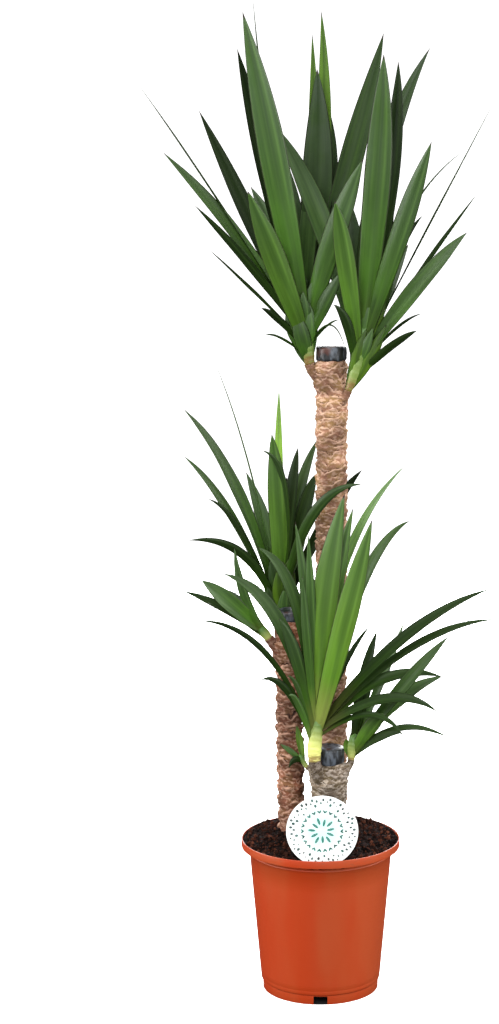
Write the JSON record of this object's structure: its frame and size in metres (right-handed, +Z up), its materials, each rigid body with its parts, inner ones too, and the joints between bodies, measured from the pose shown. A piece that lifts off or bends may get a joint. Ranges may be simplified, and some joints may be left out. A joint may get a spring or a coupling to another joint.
{
  "type": "potted yucca",
  "caption": "Potted yucca: cut woody canes of different heights with tufts of sword-shaped leaves, in a round nursery pot of soil with a plant label.",
  "frame": {"origin": "centre of the pot's underside, on the surface it stands on", "axes": "+Z up along the pot's axis, -Y towards the front with the plant label, +X to the right seen from the front"},
  "size_m": [0.5273, 0.3863, 1.4894],
  "materials": {
    "pot_plastic": "satin terracotta-coloured plastic",
    "soil": "dark loose potting soil with bark chips",
    "label_plastic": "white printed plastic",
    "bark_pale": "pale ringed bark",
    "bark_brown": "brown ringed bark",
    "bark_grey": "grey-brown scarred bark",
    "wax": "dark sealing wax",
    "leaf": "satin green leaf"
  },
  "bodies": {
    "root": {"pot": "pot_plastic", "soil": "soil", "plant_label": "label_plastic", "cane_tall": "bark_pale", "cane_left": "bark_brown", "cane_short": "bark_grey", "wax_tall": "wax", "wax_left": "wax", "wax_short": "wax", "head_tall_left": "leaf", "head_tall_right": "leaf", "head_left_low": "leaf", "head_left_upright": "leaf", "head_short_front": "leaf", "head_short_right": "leaf", "shoot_short_left": "leaf"}
  },
  "joints": []
}
